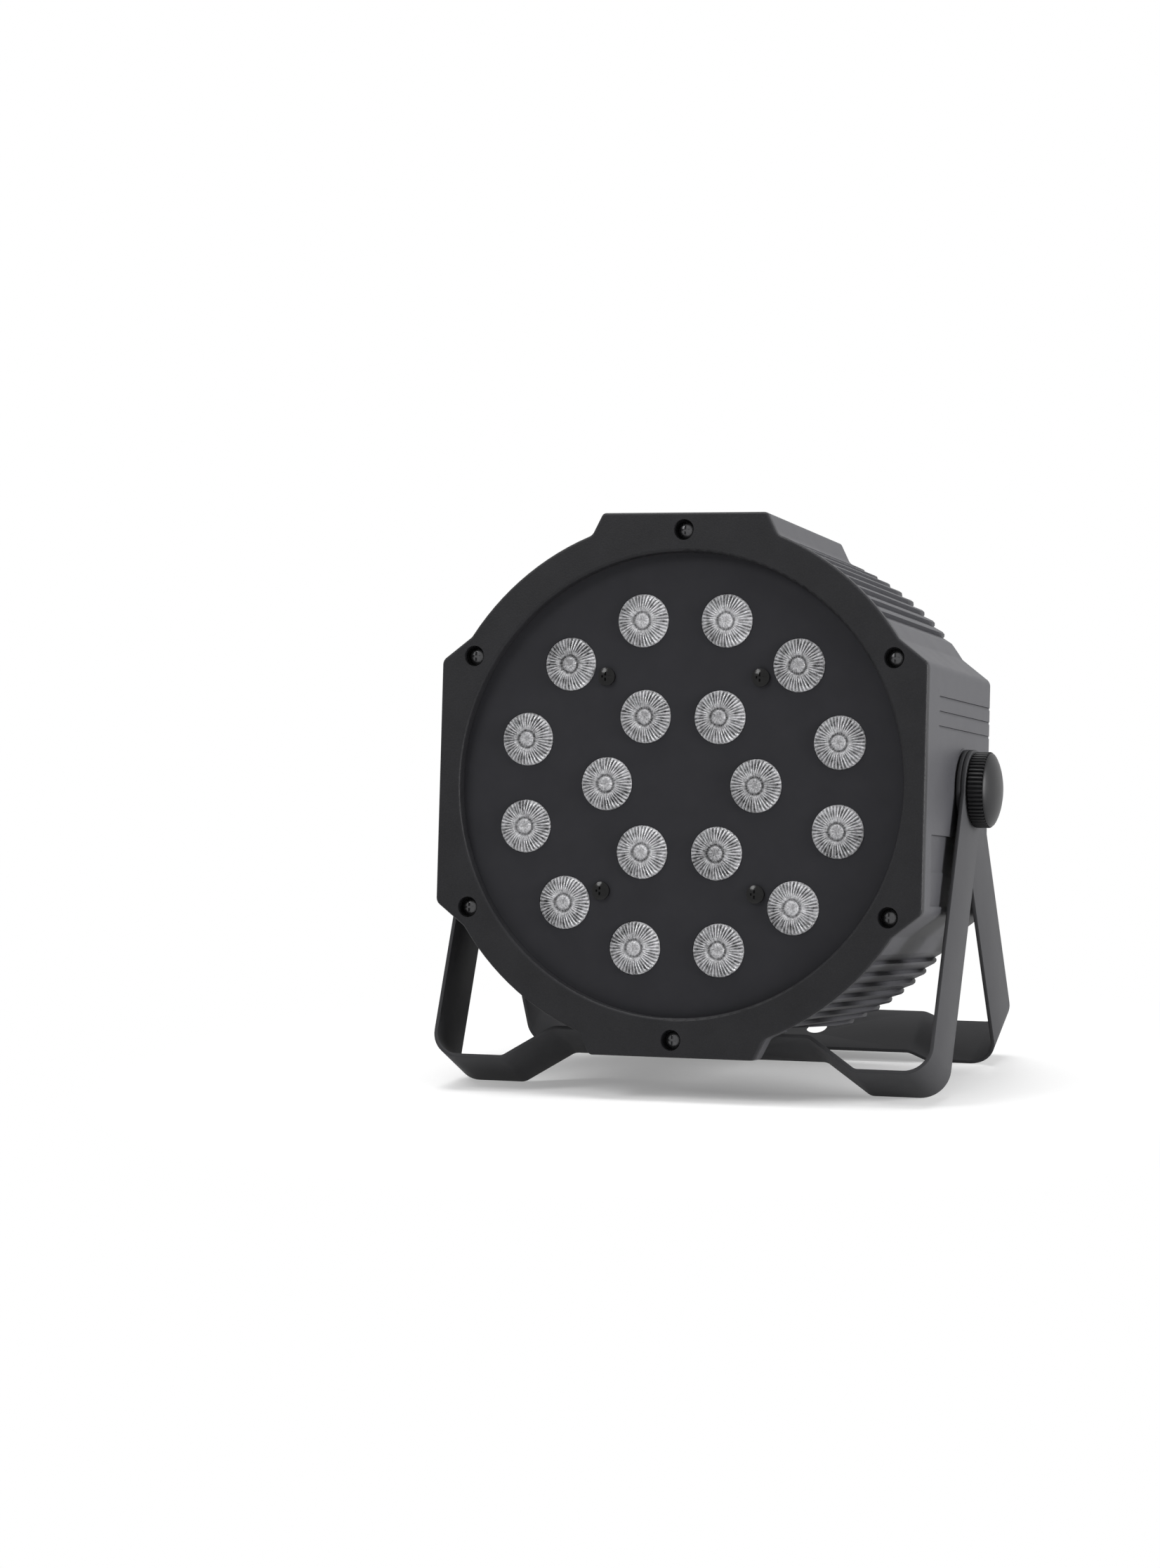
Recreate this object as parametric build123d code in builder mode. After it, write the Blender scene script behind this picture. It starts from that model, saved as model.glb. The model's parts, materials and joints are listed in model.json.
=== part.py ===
from build123d import *
from math import acos, asin, atan, cos, degrees, hypot, radians, sin, sqrt
import os

os.makedirs("parts", exist_ok=True)

# The lamp stands on the floor, +Z up, its light pointing to -Y. The origin is on the floor, under
# the middle of the lamp. Depths in the lamp head are counted backwards from the front face of the
# LED panel, heights along the head from the panel's centre. All lengths are in millimetres.

# Clearances
overrun = 1.0                # cutters pass the face that they cut by this much
running_gap = 0.3            # between bodies that move past each other
seat_gap = 0.2               # between a piece and the pocket that holds it
thread_gap = 0.05            # around screw shanks and pressed pieces
shaft_gap = 0.06             # radial clearance of turning shafts and pivots

# Stance
lean_angle = 7.8             # the head leans back by this much
bar_gap = 0.7                # front bracket's bar behind the bottom lug

# Outline of the head
panel_radius = 91.0
rim_width = 11.5             # from the panel's edge to the round outside
flat_cut = 4.9               # side flats cut this much off the round
lobe_half = 47.0             # half height of the side flats
lobe_angle = 56.5            # where the lobes leave the round, from the top
tab_reach = 1.5              # top and bottom tabs stand this much out of the round
tab_half = 33.0
tab_slant = 5.5              # a tab's sides spread by this much
tab_corner = 2.0
lobe_corner = 3.5

# Front bezel
bezel_front = 4.5            # front face, ahead of the panel
bezel_plate = 3.0
bezel_cover = 2.0            # the bezel hides this much of the panel's edge
bezel_edge = 1.0
bezel_lip_edge = 1.2
bezel_screw_inset = 5.1      # screws in from the round outside
bezel_screw_count = 6
bezel_recess_radius = 4.0
bezel_recess_floor = 0.5     # floor of the screw recess, ahead of the panel
pillar_radius = 5.0
pillar_end = 1.5             # depth that the screw pillars reach

# LED panel
panel_thick = 1.5
outer_led_circle = 65.0
outer_led_count = 12
inner_led_circle = 30.0
inner_led_count = 6
panel_screw_x = 31.1
panel_screw_z = 41.2

# Lenses, with heights counted forwards from the panel's face
lens_radius = 10.2
lens_rim = 0.3
lens_shoulder = 0.6
lens_shoulder_inset = 0.8
lens_top = 2.6
lens_flange = 1.5
lens_cone_inset = 1.0
lens_foot_radius = 4.2
lens_depth = 9.9
lens_hole_gap = 0.15
holder_wall = 0.9
holder_gap = 0.3
emitter_gap = 0.5
emitter_radius = 3.0
emitter_base = 0.6
emitter_height = 1.4

# LED board and heat sink
board_radius = 80.0
board_thick = 1.6
sink_thick = 3.0
fin_count = 11
fin_pitch = 12.0
fin_thick = 2.0
fin_height = 10.0
standoff_radius = 3.2

# Rear shell
shell_back = 103.0           # depth of the back face
wall = 2.5
side_wall = 2.8
shell_edge_start = 5.0       # the back edge is rounded in steps from here
shell_edge_middle = 1.6
section_shares = (1.0, 0.977, 0.965, 0.941)
cavity_share = 0.972
lug_depth = 5.6              # the bottom tab reaches this deep
bottom_cut = 12.5            # behind it the under side lies this much higher
ledge_width = 4.0
ledge_thick = 3.0
boss_radius = 4.8
boss_end = 12.0
rib_first = 25.0             # cooling ribs, by angle from the top
rib_last = 53.0
rib_count = 8
rib_depth = 1.7
rib_ramp_share = 0.8
groove_count = 3
groove_first = 23.5
groove_pitch = 5.6
groove_width = 1.0
groove_depth = 0.8
groove_front = 15.0
recess_top = -17.0
recess_step = -31.0
recess_bottom = -44.0
recess_front = 7.0
recess_end = 4.0             # the recess ends this far from the back face
recess_depth = 1.4
recess_step_depth = 0.4

# Pivot
pivot_depth = 57.0
pivot_rise = 1.8             # pivot above the panel's centre
pad_inset = 1.0              # pivot pads in from the side flats
pad_radius = 16.0
washer_radius = 13.0
washer_thick = 0.5
insert_radius = 6.0
insert_length = 14.0
insert_boss_radius = 9.5
insert_boss_floor = 3.6
stud_radius = 4.0
stud_length = 16.0

# Brackets
strip_width = 28.0
strip_thick = 1.5
eye_radius = 15.5
foot_reach = 15.4            # under side of the front feet, below the bottom tab
bracket_nest = 2.3           # the rear bracket is this much shorter
foot_bend = 11.0
riser_bend = 5.0
foot_inner = 70.5            # the feet end here and the strip turns up
front_bar_half = 51.5
rear_bar_half = 63.0
front_rise = 12.8
rear_rise = 4.0
clamp_hole_radius = 6.5
side_hole_radius = 4.25
side_hole_x = 21.0

# Knobs
knob_radius = 14.3
knob_rim = 6.3
knob_dome = 3.6
knob_dome_edge = 0.9
ridge_count = 54
ridge_radius = 0.4
knob_bore_depth = 5.0

# Screws
bezel_head_radius = 3.4
bezel_head_height = 2.0
panel_head_radius = 3.5
panel_head_height = 1.9
small_head_radius = 2.8
small_head_height = 1.8
shank_radius = 1.5
bezel_screw_length = 5.0
panel_screw_length = 6.0
sink_screw_length = 8.0
board_screw_length = 6.0
fan_screw_length = 14.0
socket_screw_length = 7.0
cross_length = 3.4
cross_width = 0.9
cross_depth = 1.1

# Fan
fan_size = 60.0
fan_thick = 15.0
fan_bore_radius = 28.0
fan_screw_half = 25.0
fan_corner = 3.0
fan_seat_thick = 2.5
fan_post_radius = 4.0
fan_post_length = 8.0
fan_strut = 3.0
fan_strut_count = 3
hub_radius = 13.0
hub_wall = 1.5
hub_front = 1.0              # hub's front face, behind the frame's front
fan_shaft_radius = 1.5
blade_count = 7
blade_tip = 26.8
blade_chord = 13.0
blade_thick = 1.0
blade_tilt = 40.0
grille_radius = 27.0
grille_slot = 3.0
grille_pitch = 5.4
grille_rows = 9
grille_bar = 4.0

# Control board, display and buttons
control_width = 84.0
control_height = 50.0
control_z = 57.0
control_space = 6.9          # between the board and the back wall
post_radius = 4.0
display_z = 66.0
display_width = 36.0
display_height = 15.0
display_recess = 0.2
display_lip = 2.0
display_lip_thick = 1.0
button_names = ("button_menu", "button_down", "button_up", "button_enter")
button_z = 47.0
button_pitch = 15.0
button_radius = 3.5
button_proud = 1.8
button_flange = 1.1
button_flange_thick = 1.0
button_travel = 1.0
button_stem_radius = 2.4
switch_width = 6.0
switch_height = 3.5

# Power board
power_width = 116.0
power_height = 58.0
power_z = -36.0
power_space = 18.6           # between the heat sink's fins and the board
power_screw_inset = 5.0
transformer_width = 30.0
transformer_height = 24.0
transformer_depth = 20.0
transformer_x = -20.0
transformer_z = -26.0
transformer_lid = 1.5
capacitor_radius = 8.0
capacitor_depth = 23.0
capacitor_x = 16.0
capacitor_pitch = 19.0
capacitor_z = -24.0
capacitor_edge = 0.8

# Power inlet
inlet_z = -64.0
inlet_width = 24.4
inlet_height = 16.8
inlet_chamfer = 4.0
inlet_hole_depth = 17.0
inlet_rise = 3.5
inlet_wall = 1.8
inlet_depth = 22.0
inlet_flange_width = 50.0
inlet_lip = 2.0
inlet_flange_thick = 2.2
inlet_screw_x = 20.0
pin_width = 4.0
pin_thick = 2.0
pin_reach = 13.0
pin_x = 7.0
pin_drop = 2.0
fuse_width = 22.0
fuse_height = 7.0
fuse_depth = 14.0
fuse_drop = 12.5
fuse_grip = 1.2
fuse_grip_width = 11.0
fuse_grip_height = 2.0

# Signal sockets
signal_x = 60.0
signal_z = -34.0
signal_flange_width = 26.0
signal_flange_height = 31.0
signal_flange_thick = 2.0
signal_corner = 2.0
signal_radius = 11.8
signal_depth = 20.0
signal_bore_radius = 9.4
signal_bore_depth = 14.0
signal_core_radius = 7.6
signal_pin_circle = 4.2
signal_pin_radius = 1.2
signal_pin_count = 3
signal_screw_x = 9.5
signal_screw_z = 12.0

# Sizes that follow
ring_radius = panel_radius + rim_width
flat_half = ring_radius - flat_cut
tab_height = ring_radius + tab_reach
shell_front = bezel_plate - bezel_front
bezel_screw_circle = ring_radius - bezel_screw_inset
board_front = lens_depth + emitter_gap + emitter_height
sink_front = board_front + board_thick
sink_back = sink_front + sink_thick
ledge_back = panel_thick + ledge_thick
back_inner = shell_back - wall
shell_bottom = tab_height - bottom_cut
power_front = sink_back + fin_height + power_space
power_back = power_front + board_thick
control_back = back_inner - control_space
control_front = control_back - board_thick
fan_front = back_inner - fan_thick
inlet_top = inlet_rise + inlet_height / 2 + inlet_wall
inlet_bottom = -fuse_drop - fuse_height / 2 - running_gap - inlet_wall
inlet_middle = inlet_z + (inlet_top + inlet_bottom) / 2

pad_face = flat_half - pad_inset
rear_inner = pad_face + washer_thick + running_gap
front_inner = rear_inner + strip_thick + running_gap
knob_face = front_inner + strip_thick + running_gap
half_strip = strip_width / 2
front_length = tab_height + pivot_rise + foot_reach
rear_length = front_length - bracket_nest
bar_level = front_length - front_rise

# The front bracket leans forward until its bar almost meets the bottom lug, and the rear bracket
# leans back until both stand on the same floor.
bar_forward = pivot_depth - lug_depth - bar_gap
swing_angle = degrees(asin(bar_forward / hypot(bar_level, half_strip)) - atan(half_strip / bar_level))
front_angle = swing_angle + lean_angle
pivot_height = front_length * cos(radians(front_angle)) + half_strip * sin(radians(front_angle))
rear_angle = degrees(acos(pivot_height / hypot(rear_length, half_strip)) + atan(half_strip / rear_length))

# The origin is midway between the bezel's lowest front edge and the rear bracket's heel.
front_reach = ((pivot_depth + bezel_front) * cos(radians(lean_angle))
               + (tab_height + pivot_rise) * sin(radians(lean_angle)))
rear_reach = rear_length * sin(radians(rear_angle)) + half_strip * cos(radians(rear_angle))
pivot_point = Vector(0, (front_reach - rear_reach) / 2, pivot_height)


def tilted(angle, origin):
    """Plane that faces forward, with its y axis up and leaning back by the angle."""
    lean = radians(angle)
    return Plane(origin=origin, x_dir=(1, 0, 0), z_dir=(0, -cos(lean), sin(lean)))


pivot_plane = tilted(lean_angle, pivot_point)
head = tilted(lean_angle, pivot_plane.from_local_coords(Vector(0, -pivot_rise, pivot_depth)))
head_axis = Axis(head.origin, head.z_dir)


def at_depth(depth):
    """Plane across the head, facing forward."""
    return head.offset(-depth)


def spot(depth, place):
    """Plane facing forward at a place (x, height) and depth in the head."""
    return Plane(origin=head.from_local_coords(Vector(place[0], place[1], -depth)),
                 x_dir=head.x_dir, z_dir=head.z_dir)


def back_spot(depth, place):
    """Plane facing backward at a place (x, height) and depth in the head."""
    return Plane(origin=head.from_local_coords(Vector(place[0], place[1], -depth)),
                 x_dir=-head.x_dir, z_dir=-head.z_dir)


def level(height):
    """Plane along the head at a height, with local coordinates (x, depth)."""
    return Plane(origin=head.from_local_coords(Vector(0, height, 0)),
                 x_dir=head.x_dir, z_dir=head.y_dir)


def outward(side, x):
    """Plane on the pivot axis at a distance x, facing away from the head on that side."""
    return Plane(origin=pivot_point + Vector(side * x, 0, 0),
                 x_dir=-head.z_dir, z_dir=(side, 0, 0))


def lengthwise(plane):
    """Plane through the normal of another: local x is the radius, local y the height over it."""
    return Plane(origin=plane.origin, x_dir=plane.x_dir, z_dir=-plane.y_dir)


def polar(radius, angle):
    """Place at an angle from the top."""
    return (radius * sin(radians(angle)), radius * cos(radians(angle)))


def ring_of(count, radius, start=0.0):
    """Places evenly round a circle."""
    return [polar(radius, start + 360 / count * i) for i in range(count)]


def corners(x, z, middle=(0, 0)):
    """The four corners of a rectangle of half sizes x and z."""
    return [(middle[0] + i * x, middle[1] + j * z) for i in (-1, 1) for j in (-1, 1)]


def flank(depth):
    """Half width of the shell at its side flats."""
    run = (depth - shell_front) / (shell_back - shell_edge_start - shell_front)
    return flat_half * (1 - (1 - section_shares[1]) * run)


led_places = (ring_of(outer_led_count, outer_led_circle, -180 / outer_led_count)
              + ring_of(inner_led_count, inner_led_circle, -180 / inner_led_count))
bezel_screw_places = ring_of(bezel_screw_count, bezel_screw_circle)
panel_screw_places = corners(panel_screw_x, panel_screw_z)
power_screw_places = corners(power_width / 2 - power_screw_inset, power_height / 2 - power_screw_inset,
                             (0, power_z))
control_screw_places = corners(control_width / 2 - post_radius, control_height / 2 - post_radius,
                               (0, control_z))
fan_screw_places = corners(fan_screw_half, fan_screw_half)
button_places = [(button_pitch * (i - (len(button_names) - 1) / 2), button_z)
                 for i in range(len(button_names))]


def draw_outline(sketch, share, ribs=False):
    """Outline of the head at a share of its full size, drawn into an open sketch."""
    ring = ring_radius * share
    side = flat_half * share
    tab = tab_height * share
    tab_top = tab_half * share
    tab_foot = (tab_half + tab_slant) * share
    tab_root = sqrt(ring ** 2 - tab_foot ** 2) - tab_corner * share
    lobe = lobe_half * share
    lobe_x, lobe_z = polar(ring - seat_gap, lobe_angle)
    Circle(ring)
    Rectangle(2 * side, 2 * ring, mode=Mode.INTERSECT)
    for sign in (1, -1):
        Polygon((-tab_top, sign * tab), (tab_top, sign * tab), (tab_foot, sign * tab_root),
                (-tab_foot, sign * tab_root), align=None)
        Polygon((sign * lobe_x, lobe_z), (sign * side, lobe), (sign * side, -lobe),
                (sign * lobe_x, -lobe_z), align=None)
    fillet([v for v in sketch.vertices() if abs(v.Y) < tab - seat_gap], lobe_corner * share)
    fillet([v for v in sketch.vertices() if abs(v.Y) > tab - seat_gap], tab_corner * share)
    if ribs:
        step = (rib_last - rib_first) / rib_count
        for i in range(rib_count):
            start = rib_first + step * i
            end = start + step * rib_ramp_share
            tooth = [polar(ring + overrun, start), polar(ring - rib_depth * share, start),
                     polar(ring, end), polar(ring + overrun, end)]
            for x_sign in (1, -1):
                for z_sign in (1, -1):
                    Polygon(*[(x_sign * x, z_sign * z) for x, z in tooth], align=None,
                            mode=Mode.SUBTRACT)


def turn(plane, *points):
    """Adds a solid turned about the plane's normal; points are (radius, height over the plane)."""
    with BuildSketch(lengthwise(plane)) as profile:
        with BuildLine():
            Polyline(*points, close=True)
        make_face()
    revolve(profile.sketch, axis=Axis(plane.origin, plane.z_dir))


def add_screw(plane, head_radius, head_height, length):
    """Adds a pan head screw whose head stands on the plane."""
    with BuildSketch(lengthwise(plane)) as profile:
        with BuildLine():
            crown = TangentArc((0, head_height), (head_radius, head_height / 2), tangent=(1, 0))
            Polyline(crown @ 1, (head_radius, 0), (shank_radius, 0), (shank_radius, -length),
                     (0, -length), crown @ 0)
        make_face()
    revolve(profile.sketch, axis=Axis(plane.origin, plane.z_dir))
    with BuildSketch(plane.offset(head_height - cross_depth)) as cross:
        Rectangle(cross_length, cross_width)
        Rectangle(cross_width, cross_length)
    extrude(cross.sketch, amount=cross_depth + overrun, mode=Mode.SUBTRACT)


# Front bezel: cover plate, lip on the panel's edge and screw pillars
with BuildPart() as front_bezel:
    with BuildSketch(at_depth(shell_front)) as cover:
        draw_outline(cover, 1)
    extrude(amount=bezel_plate)
    fillet(front_bezel.faces().sort_by(head_axis)[-1].edges(), bezel_edge)
    with BuildSketch(at_depth(0)):
        Circle(panel_radius)
    extrude(amount=bezel_plate)
    with BuildSketch(at_depth(pillar_end)):
        with Locations(*bezel_screw_places):
            Circle(pillar_radius)
    extrude(amount=pillar_end - shell_front)
    with BuildSketch(at_depth(pillar_end + overrun)):
        Circle(panel_radius - bezel_cover)
        with Locations(*bezel_screw_places):
            Circle(shank_radius + seat_gap)
    extrude(amount=pillar_end + bezel_front + 2 * overrun, mode=Mode.SUBTRACT)
    with BuildSketch(at_depth(-bezel_recess_floor)):
        with Locations(*bezel_screw_places):
            Circle(bezel_recess_radius)
    extrude(amount=bezel_front + overrun, mode=Mode.SUBTRACT)
    opening = front_bezel.edges().filter_by(GeomType.CIRCLE).filter_by(
        lambda edge: abs(edge.radius - panel_radius + bezel_cover) < seat_gap)
    fillet(opening.sort_by(head_axis)[-1], bezel_lip_edge)
front_bezel.part.label = "front_bezel"
export_step(front_bezel.part, "parts/front_bezel.step")

# LED panel: black sheet with a hole for each lens
with BuildPart() as led_panel:
    with BuildSketch(at_depth(panel_thick)):
        Circle(panel_radius)
        with Locations(*led_places):
            Circle(lens_radius + lens_hole_gap, mode=Mode.SUBTRACT)
        with Locations(*panel_screw_places):
            Circle(shank_radius + seat_gap, mode=Mode.SUBTRACT)
    extrude(amount=panel_thick)
led_panel.part.label = "led_panel"
export_step(led_panel.part, "parts/led_panel.step")

# Lenses: a domed face on a cone that gathers the light
for i, place in enumerate(led_places, 1):
    with BuildPart() as lens:
        with BuildSketch(lengthwise(spot(0, place))):
            with BuildLine():
                dome = TangentArc((0, lens_top), (lens_radius - lens_shoulder_inset, lens_shoulder),
                                  tangent=(1, 0))
                Polyline(dome @ 1, (lens_radius, lens_rim), (lens_radius, -lens_flange),
                         (lens_radius - lens_cone_inset, -lens_flange), (lens_foot_radius, -lens_depth),
                         (0, -lens_depth), dome @ 0)
            make_face()
        revolve(axis=Axis(spot(0, place).origin, head.z_dir))
    lens.part.label = f"lens_{i:02}"
    export_step(lens.part, f"parts/lens_{i:02}.step")

# Lens holders: cups that stand on the LED board and carry each lens by its flange
with BuildPart() as lens_holders:
    cup_top = lens_radius - lens_cone_inset + holder_gap
    cup_foot = lens_foot_radius + holder_gap
    for place in led_places:
        turn(spot(0, place), (cup_top, -lens_flange), (cup_top + holder_wall, -lens_flange),
             (cup_foot + holder_wall, -lens_depth), (cup_foot + holder_wall, -board_front),
             (cup_foot, -board_front), (cup_foot, -lens_depth))
lens_holders.part.label = "lens_holders"
export_step(lens_holders.part, "parts/lens_holders.step")

# LED emitters: one under each lens
with BuildPart() as led_emitters:
    for place in led_places:
        base = spot(board_front, place)
        with BuildSketch(base):
            Circle(emitter_radius)
        extrude(amount=emitter_base)
        with BuildSketch(lengthwise(base)):
            with BuildLine():
                bead = TangentArc((0, emitter_height), (emitter_radius - emitter_base, emitter_base),
                                  tangent=(1, 0))
                Polyline(bead @ 1, (0, emitter_base), bead @ 0)
            make_face()
        revolve(axis=Axis(base.origin, base.z_dir))
led_emitters.part.label = "led_emitters"
export_step(led_emitters.part, "parts/led_emitters.step")

# LED board
with BuildPart() as led_board:
    with BuildSketch(at_depth(sink_front)):
        Circle(board_radius)
        with Locations(*panel_screw_places):
            Circle(shank_radius + seat_gap, mode=Mode.SUBTRACT)
    extrude(amount=board_thick)
led_board.part.label = "led_board"
export_step(led_board.part, "parts/led_board.step")

# Heat sink: plate with upright fins on its back
with BuildPart() as heat_sink:
    with BuildSketch(at_depth(sink_back)):
        Circle(board_radius)
    extrude(amount=sink_thick)
    with BuildSketch(at_depth(sink_back + fin_height)):
        with GridLocations(fin_pitch, 0, fin_count, 1):
            Rectangle(fin_thick, 2 * board_radius)
        Circle(board_radius, mode=Mode.INTERSECT)
    extrude(amount=fin_height)
    with BuildSketch(at_depth(sink_back)):
        with Locations(*panel_screw_places):
            Circle(shank_radius + seat_gap)
    extrude(amount=sink_thick, mode=Mode.SUBTRACT)
heat_sink.part.label = "heat_sink"
export_step(heat_sink.part, "parts/heat_sink.step")

# Standoffs between the panel and the LED board
with BuildPart() as panel_standoffs:
    with BuildSketch(at_depth(board_front)):
        with Locations(*panel_screw_places):
            Circle(standoff_radius)
            Circle(shank_radius + thread_gap, mode=Mode.SUBTRACT)
    extrude(amount=board_front - panel_thick)
panel_standoffs.part.label = "panel_standoffs"
export_step(panel_standoffs.part, "parts/panel_standoffs.step")

# Rear shell
with BuildPart() as rear_shell:
    section_depths = (shell_front, shell_back - shell_edge_start, shell_back - shell_edge_middle, shell_back)
    for depth, share in zip(section_depths, section_shares):
        with BuildSketch(at_depth(depth)) as section:
            draw_outline(section, share, ribs=True)
    loft(ruled=True)

    # Cavity behind the ledge that the panel rests on
    for depth, share in ((ledge_back, 1), (back_inner, cavity_share)):
        with BuildSketch(at_depth(depth)):
            Circle((ring_radius - rib_depth - side_wall) * share)
            Rectangle(2 * (flat_half - side_wall) * share, 2 * ring_radius, mode=Mode.INTERSECT)
            with Locations((0, wall - shell_bottom)):
                Rectangle(2 * ring_radius, ring_radius, align=(Align.CENTER, Align.MAX), mode=Mode.SUBTRACT)
    loft(ruled=True, mode=Mode.SUBTRACT)
    with BuildSketch(at_depth(ledge_back + overrun)):
        Circle(panel_radius - ledge_width)
    extrude(amount=ledge_back - shell_front + 2 * overrun, mode=Mode.SUBTRACT)
    with BuildSketch(at_depth(panel_thick)):
        Circle(panel_radius + seat_gap)
    extrude(amount=panel_thick - shell_front + overrun, mode=Mode.SUBTRACT)

    # Bosses for the bezel screws, then the flat under side that clears the brackets
    with BuildSketch(at_depth(boss_end)):
        with Locations(*bezel_screw_places):
            Circle(boss_radius)
    extrude(amount=boss_end - ledge_back)
    with BuildSketch(at_depth(shell_back + overrun)):
        with Locations((0, -shell_bottom)):
            Rectangle(2 * ring_radius, 2 * bottom_cut, align=(Align.CENTER, Align.MAX))
    extrude(amount=shell_back + overrun - lug_depth, mode=Mode.SUBTRACT)
    with BuildSketch(at_depth(pillar_end + running_gap)):
        with Locations(*bezel_screw_places):
            Circle(pillar_radius + seat_gap)
    extrude(amount=pillar_end + running_gap - shell_front + overrun, mode=Mode.SUBTRACT)
    with BuildSketch(at_depth(bezel_screw_length - bezel_recess_floor + running_gap)):
        with Locations(*bezel_screw_places):
            Circle(shank_radius + thread_gap)
    extrude(amount=bezel_screw_length, mode=Mode.SUBTRACT)

    # Pivot pads on the sides, with a boss inside for the threaded insert
    for side in (1, -1):
        boss_x = pad_face - insert_length - insert_boss_floor
        with BuildSketch(outward(side, flank(pivot_depth) - side_wall)):
            Circle(pad_radius)
        extrude(amount=pad_face - flank(pivot_depth) + side_wall)
        with BuildSketch(outward(side, boss_x)):
            Circle(insert_boss_radius)
        extrude(amount=pad_face - boss_x)
        with BuildSketch(outward(side, pad_face - insert_length)):
            Circle(insert_radius + thread_gap)
        extrude(amount=insert_length + overrun, mode=Mode.SUBTRACT)

    # Grooves and the stepped recess in the side flats
    cuts = [(groove_first + groove_pitch * i, groove_first + groove_pitch * i + groove_width,
             groove_front, shell_back + overrun, groove_depth) for i in range(groove_count)]
    cuts.append((recess_step, recess_top, recess_front, shell_back - recess_end, recess_depth))
    cuts.append((recess_bottom, recess_step, recess_front, shell_back - recess_end,
                 recess_depth - recess_step_depth))
    for side in (1, -1):
        for low, high, start, end, deep in cuts:
            with BuildSketch(level(low)):
                Polygon((side * (flat_half + overrun), start), (side * (flank(start) - deep), start),
                        (side * (flank(end) - deep), end), (side * (flat_half + overrun), end),
                        align=None)
            extrude(amount=high - low, mode=Mode.SUBTRACT)

    # Posts for the two boards
    with BuildSketch(at_depth(back_inner + wall / 2)):
        with Locations(*power_screw_places):
            Circle(post_radius)
    extrude(amount=back_inner + wall / 2 - power_back)
    with BuildSketch(at_depth(back_inner + wall / 2)):
        with Locations(*control_screw_places):
            Circle(post_radius)
    extrude(amount=back_inner + wall / 2 - control_back)
    for places, face in ((power_screw_places, power_front), (control_screw_places, control_front)):
        with BuildSketch(at_depth(face + board_screw_length + running_gap)):
            with Locations(*places):
                Circle(shank_radius + thread_gap)
        extrude(amount=board_screw_length, mode=Mode.SUBTRACT)

    # Grille of the fan, and the openings for display, buttons, inlet and sockets
    with BuildSketch(at_depth(shell_back + overrun)):
        with GridLocations(0, grille_pitch, 1, grille_rows):
            Rectangle(2 * grille_radius, grille_slot)
        Circle(grille_radius, mode=Mode.INTERSECT)
        Rectangle(grille_bar, 2 * grille_radius, mode=Mode.SUBTRACT)
        with Locations(*fan_screw_places):
            Circle(shank_radius + seat_gap)
        with Locations((0, display_z)):
            Rectangle(display_width + 2 * seat_gap, display_height + 2 * seat_gap)
        with Locations(*button_places):
            Circle(button_radius + running_gap)
        with Locations((0, inlet_middle)):
            Rectangle(inlet_width + 2 * inlet_wall + 2 * seat_gap, inlet_top - inlet_bottom + 2 * seat_gap)
        with Locations((-inlet_screw_x, inlet_middle), (inlet_screw_x, inlet_middle)):
            Circle(shank_radius + thread_gap)
        with Locations((-signal_x, signal_z), (signal_x, signal_z)):
            Circle(signal_radius + seat_gap)
            with Locations((-signal_screw_x, signal_screw_z), (signal_screw_x, -signal_screw_z)):
                Circle(shank_radius + thread_gap)
    extrude(amount=wall + 2 * overrun, mode=Mode.SUBTRACT)
rear_shell.part.label = "rear_shell"
export_step(rear_shell.part, "parts/rear_shell.step")

# Brackets: a bent strip each, with an eye on either pivot, two feet and a raised bar between them
bracket_table = (("front_bracket", front_angle, front_inner, front_length, front_bar_half, front_rise),
                 ("rear_bracket", -rear_angle, rear_inner, rear_length, rear_bar_half, rear_rise))
for name, angle, inner, length, bar_half, rise in bracket_table:
    strip_plane = tilted(angle, pivot_point)
    outer = inner + strip_thick
    right_half = [(bar_half, rise - length), (foot_inner, -length), (outer, -length), (outer, eye_radius)]
    left_half = [(-x, y) for x, y in reversed(right_half)]
    with BuildPart() as bracket:
        with BuildSketch(strip_plane.offset(-half_strip)) as strip:
            with BuildLine():
                bends = [foot_bend, riser_bend, riser_bend]
                shape = FilletPolyline(*left_half, *right_half, radius=bends + bends[::-1])
                Line(shape @ 1, shape @ 0)
            make_face()
            offset(strip.sketch_local.face(), amount=-strip_thick, kind=Kind.INTERSECTION,
                   mode=Mode.SUBTRACT)
            Rectangle(4 * outer, 2 * eye_radius, align=(Align.CENTER, Align.MIN), mode=Mode.SUBTRACT)
        extrude(amount=strip_width)
        for side in (1, -1):
            with BuildSketch(outward(side, inner)):
                Circle(eye_radius)
            extrude(amount=strip_thick)
            with BuildSketch(outward(side, inner - overrun)):
                Circle(stud_radius + shaft_gap)
            extrude(amount=strip_thick + 2 * overrun, mode=Mode.SUBTRACT)
        bar_face = Plane(origin=strip_plane.from_local_coords(Vector(0, rise - length - overrun, 0)),
                         x_dir=(1, 0, 0), z_dir=strip_plane.y_dir)
        with BuildSketch(bar_face):
            Circle(clamp_hole_radius)
            with Locations((-side_hole_x, 0), (side_hole_x, 0)):
                Circle(side_hole_radius)
        extrude(amount=strip_thick + 2 * overrun, mode=Mode.SUBTRACT)
    bracket.part.label = name
    export_step(bracket.part, f"parts/{name}.step")

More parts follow.
